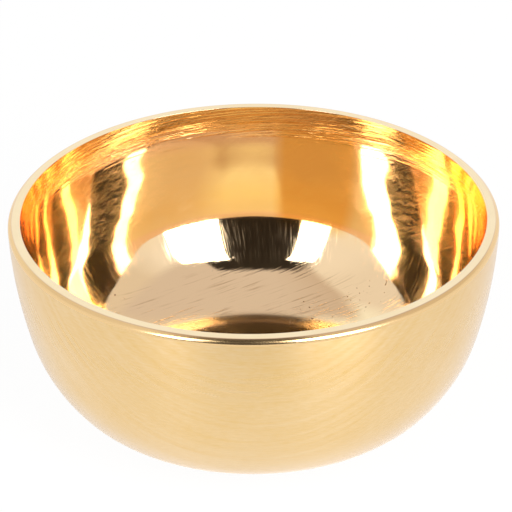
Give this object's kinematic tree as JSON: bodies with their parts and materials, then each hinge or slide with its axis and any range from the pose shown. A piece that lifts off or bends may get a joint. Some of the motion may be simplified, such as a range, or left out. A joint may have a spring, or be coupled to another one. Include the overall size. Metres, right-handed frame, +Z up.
{
  "type": "offering bowl",
  "caption": "Round open bowl of polished brass, turned in one piece, with a steep wall, a flat bevelled rim and a small level base, to hold water, grain or incense.",
  "frame": {"origin": "centre of the level base, on the surface that the bowl stands on", "axes": "+Z up along the bowl's axis, towards the mouth; the bowl is round, so X and Y are free"},
  "size_m": [0.1, 0.1, 0.0455],
  "materials": {
    "polished_brass": "mirror polish inside and on the rim, satin brushed outside"
  },
  "bodies": {
    "root": {"bowl": "polished_brass"}
  },
  "joints": []
}
